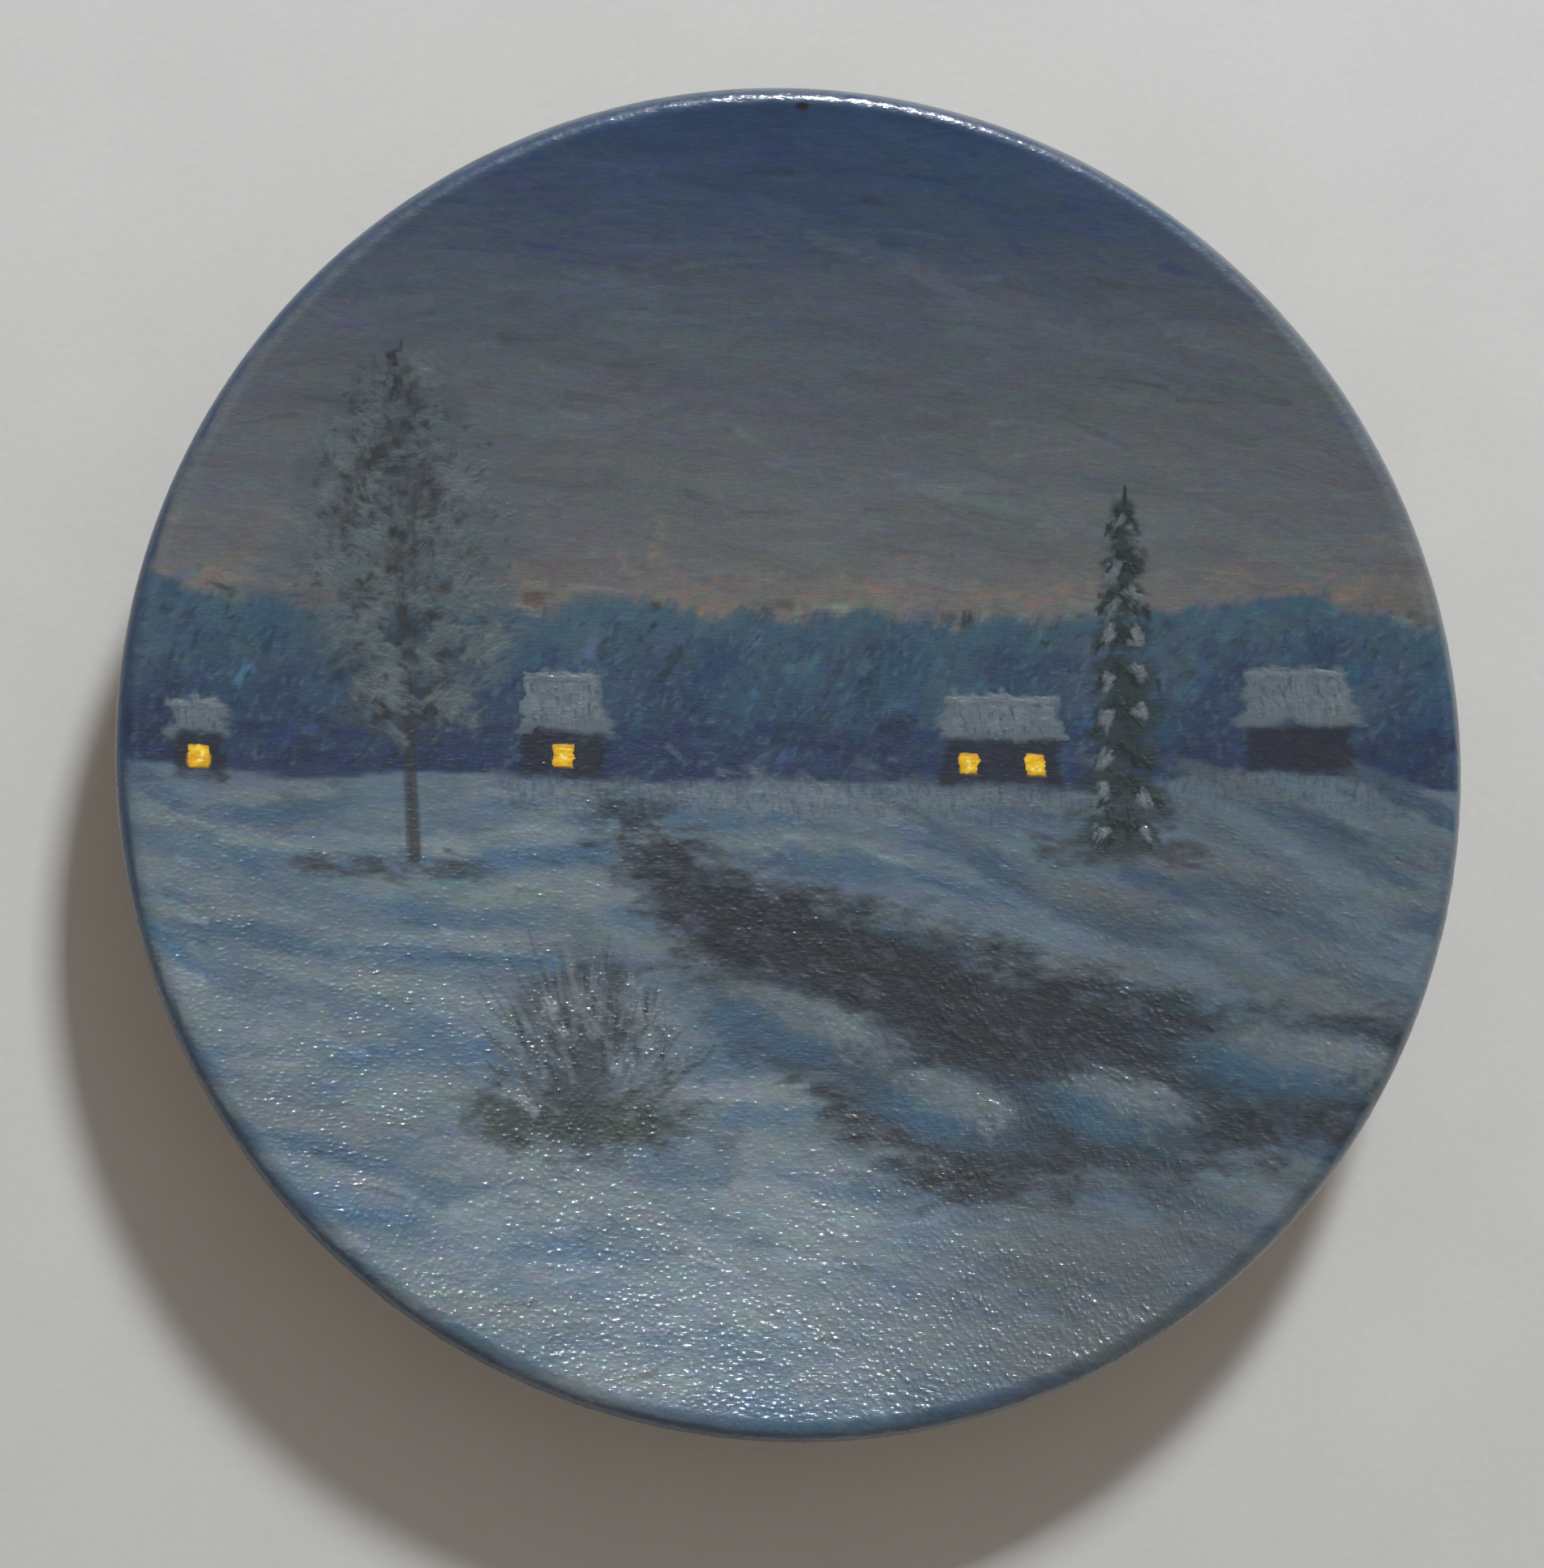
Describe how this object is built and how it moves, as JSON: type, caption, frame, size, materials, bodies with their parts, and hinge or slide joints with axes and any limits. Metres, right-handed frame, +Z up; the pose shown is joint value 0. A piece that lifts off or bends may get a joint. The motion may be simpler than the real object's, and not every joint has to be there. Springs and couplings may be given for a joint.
{
  "type": "hand-painted decorative dish",
  "caption": "Small round turned wooden dish on a foot ring, with a rounded rim and a hand-painted winter landscape over its shallow concave face.",
  "frame": {"origin": "middle of the foot ring's resting plane", "axes": "+Z up, out of the dish; +Y towards the top of the picture, +X to its right"},
  "size_m": [0.1, 0.1, 0.0135],
  "materials": {
    "wood": "turned and lightly oiled",
    "ground": "matt brushed ground coat",
    "paint": "brushed artists' paint under a semi-gloss varnish",
    "window_paint": "thick yellow paint, semi-gloss",
    "snow_paint": "thick grey-white paint, semi-gloss",
    "tree_paint": "dry-brushed grey and brown paint, semi-gloss",
    "spruce_paint": "dark green and grey-white paint, semi-gloss",
    "bush_paint": "dry-brushed brown and grey-white paint, semi-gloss"
  },
  "bodies": {
    "root": {"wood_plate": "wood", "ground_coat": "ground", "paint_film": "paint", "raised_windows": "window_paint", "raised_roof_snow": "snow_paint", "raised_tree": "tree_paint", "raised_spruce": "spruce_paint", "raised_bush": "bush_paint"}
  },
  "joints": []
}
